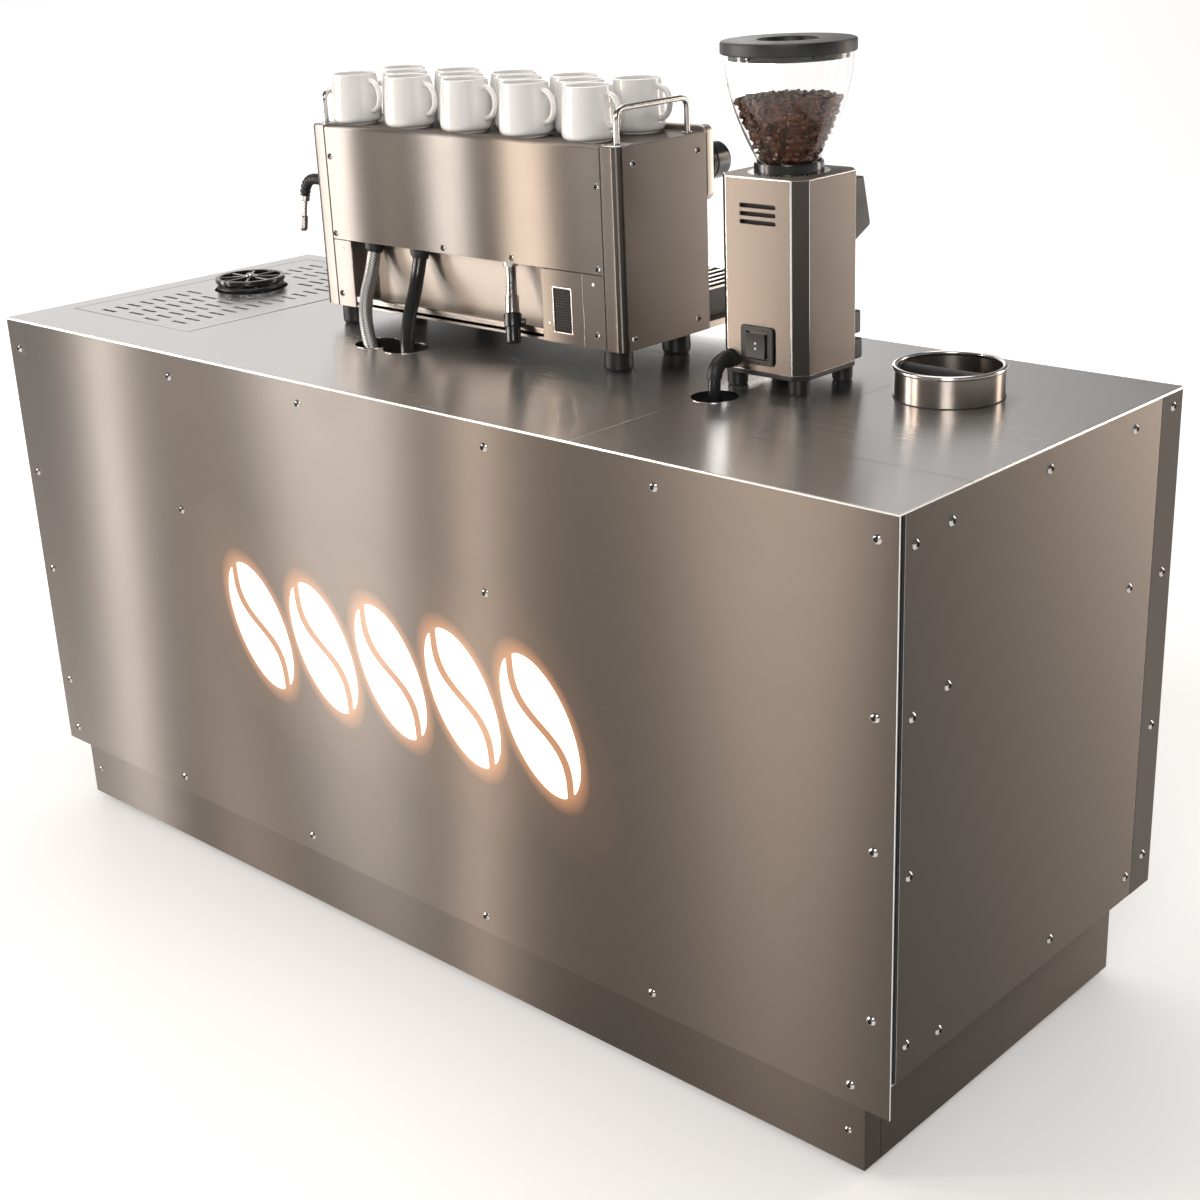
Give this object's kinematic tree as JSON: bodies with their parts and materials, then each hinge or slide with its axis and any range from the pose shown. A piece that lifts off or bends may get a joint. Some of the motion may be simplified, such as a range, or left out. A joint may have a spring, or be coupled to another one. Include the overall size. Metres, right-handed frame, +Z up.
{
  "type": "coffee cart",
  "caption": "Brushed steel coffee cart with an espresso machine, grinder, pitcher rinser, knock chute and illuminated front panel, open on the barista side.",
  "frame": {"origin": "on the floor under the middle of the cart's footprint", "axes": "+X along the cart towards the grinder end, -Y the customer side, +Y the barista side, +Z up"},
  "size_m": [1.8858, 0.6858, 1.3979],
  "materials": {
    "brushed_steel": "brushed stainless sheet, warm grey",
    "bright_steel": "bright polished stainless",
    "frame_alloy": "plain mill finish",
    "black_plastic": "satin black moulded plastic",
    "black_rubber": "black rubber",
    "white_plastic": "white moulded plastic",
    "opal_light": "opal sheet, lit from behind",
    "white_ceramic": "white glazed stoneware",
    "clear_hopper": "clear moulded hopper",
    "coffee_beans": "roasted beans"
  },
  "bodies": {
    "cart": {"cart_frame": "frame_alloy", "front_panel": "brushed_steel", "side_panels": "brushed_steel", "rear_stiles": "brushed_steel", "plinth": "brushed_steel", "shelves": "bright_steel", "worktop_left": "brushed_steel", "worktop_right": "brushed_steel", "cart_screws": "bright_steel", "sign_diffuser": "opal_light", "sign_light_box": "white_plastic", "rinse_pan": "bright_steel", "rinser_valve": "black_plastic", "knock_chute": "bright_steel", "knock_rubber": "black_rubber", "water_tanks": "white_plastic", "water_pump": "black_plastic", "power_box": "brushed_steel", "supply_hose": "bright_steel", "drain_hose": "black_rubber", "grinder_cable": "black_rubber", "machine_chassis": "brushed_steel", "machine_rear_panels": "brushed_steel", "machine_side_covers": "brushed_steel", "machine_top_tray": "brushed_steel", "cup_rails": "bright_steel", "machine_feet": "black_rubber", "machine_screws": "bright_steel", "machine_fascia": "bright_steel", "boiler": "frame_alloy", "group_heads": "bright_steel", "drain_tap": "bright_steel", "hose_glands": "black_plastic", "cups": "white_ceramic", "grinder_housing": "brushed_steel", "grinder_base": "black_plastic", "grinder_motor": "brushed_steel", "hopper": "clear_hopper", "beans": "coffee_beans", "grinder_fittings": "black_plastic"},
    "foot_front_left": {"foot_front_left": "black_plastic"},
    "foot_front_right": {"foot_front_right": "black_plastic"},
    "foot_rear_left": {"foot_rear_left": "black_plastic"},
    "foot_rear_right": {"foot_rear_right": "black_plastic"},
    "rinse_grate": {"rinse_grate": "bright_steel"},
    "rinser_star": {"rinser_star": "black_plastic"},
    "knock_bin": {"knock_bin": "brushed_steel"},
    "portafilter_left": {"portafilter_left": "black_plastic"},
    "portafilter_right": {"portafilter_right": "black_plastic"},
    "steam_wand": {"steam_wand": "bright_steel"},
    "steam_knob_left": {"steam_knob_left": "black_plastic"},
    "steam_knob_right": {"steam_knob_right": "black_plastic"},
    "brew_button_left": {"brew_button_left": "black_plastic"},
    "brew_button_right": {"brew_button_right": "black_plastic"},
    "drip_tray": {"drip_tray": "black_plastic"},
    "drip_grate": {"drip_grate": "bright_steel"},
    "burr": {"grinder_burr": "bright_steel"},
    "grind_collar": {"grinder_collar": "black_plastic"},
    "hopper_lid": {"hopper_lid": "black_plastic"},
    "rocker": {"rocker_switch": "black_plastic"}
  },
  "joints": [
    {"name": "foot_front_left_turn", "type": "hinge", "parent": "cart", "child": "foot_front_left", "pos_m": [-0.85, -0.285, 0], "axis": [0, 0, 1], "range_deg": [-360, 360]},
    {"name": "foot_front_right_turn", "type": "hinge", "parent": "cart", "child": "foot_front_right", "pos_m": [0.85, -0.285, 0], "axis": [0, 0, 1], "range_deg": [-360, 360]},
    {"name": "foot_rear_left_turn", "type": "hinge", "parent": "cart", "child": "foot_rear_left", "pos_m": [-0.85, 0.268, 0], "axis": [0, 0, 1], "range_deg": [-360, 360]},
    {"name": "foot_rear_right_turn", "type": "hinge", "parent": "cart", "child": "foot_rear_right", "pos_m": [0.85, 0.268, 0], "axis": [0, 0, 1], "range_deg": [-360, 360]},
    {"name": "rinse_grate_lift", "type": "slide", "parent": "cart", "child": "rinse_grate", "axis": [0, 0, 1], "range_m": [0, 0.12]},
    {"name": "rinser_press", "type": "slide", "parent": "cart", "child": "rinser_star", "axis": [0, 0, -1], "range_m": [0, 0.004], "stiffness_N_per_m": 1500, "springref_m": -0.003},
    {"name": "knock_bin_slide", "type": "slide", "parent": "cart", "child": "knock_bin", "axis": [0, 1, 0], "range_m": [0, 0.35]},
    {"name": "portafilter_left_turn", "type": "hinge", "parent": "cart", "child": "portafilter_left", "pos_m": [-0.219, 0.207, 1.1077], "axis": [0, 0, -1], "range_deg": [0, 45]},
    {"name": "portafilter_right_turn", "type": "hinge", "parent": "cart", "child": "portafilter_right", "pos_m": [0.081, 0.207, 1.1077], "axis": [0, 0, -1], "range_deg": [0, 45]},
    {"name": "steam_wand_swing", "type": "hinge", "parent": "cart", "child": "steam_wand", "pos_m": [-0.404, -0.022, 1.162], "axis": [1, 0, 0], "range_deg": [-40, 40]},
    {"name": "steam_knob_left_turn", "type": "hinge", "parent": "cart", "child": "steam_knob_left", "pos_m": [-0.378, 0.163, 1.208], "axis": [0, 1, 0], "range_deg": [0, 270]},
    {"name": "steam_knob_right_turn", "type": "hinge", "parent": "cart", "child": "steam_knob_right", "pos_m": [0.24, 0.163, 1.208], "axis": [0, 1, 0], "range_deg": [0, 270]},
    {"name": "brew_button_left_press", "type": "slide", "parent": "cart", "child": "brew_button_left", "axis": [0, -1, 0], "range_m": [0, 0.003], "stiffness_N_per_m": 800, "springref_m": -0.002},
    {"name": "brew_button_right_press", "type": "slide", "parent": "cart", "child": "brew_button_right", "axis": [0, -1, 0], "range_m": [0, 0.003], "stiffness_N_per_m": 800, "springref_m": -0.002},
    {"name": "drip_tray_slide", "type": "slide", "parent": "cart", "child": "drip_tray", "axis": [0, 1, 0], "range_m": [0, 0.17]},
    {"name": "drip_grate_lift", "type": "slide", "parent": "drip_tray", "child": "drip_grate", "axis": [0, 0, 1], "range_m": [0, 0.05]},
    {"name": "burr_spin", "type": "hinge", "parent": "cart", "child": "burr", "pos_m": [0.479, 0.0645, 1.2], "axis": [0, 0, 1], "continuous": true},
    {"name": "grind_adjust", "type": "hinge", "parent": "cart", "child": "grind_collar", "pos_m": [0.479, 0.0645, 1.2243], "axis": [0, 0, 1], "range_deg": [-60, 60]},
    {"name": "hopper_lid_lift", "type": "slide", "parent": "cart", "child": "hopper_lid", "axis": [0, 0, 1], "range_m": [0, 0.1]},
    {"name": "rocker_tilt", "type": "hinge", "parent": "cart", "child": "rocker", "pos_m": [0.478, -0.008, 0.996], "axis": [1, 0, 0], "range_deg": [-8, 8]}
  ]
}
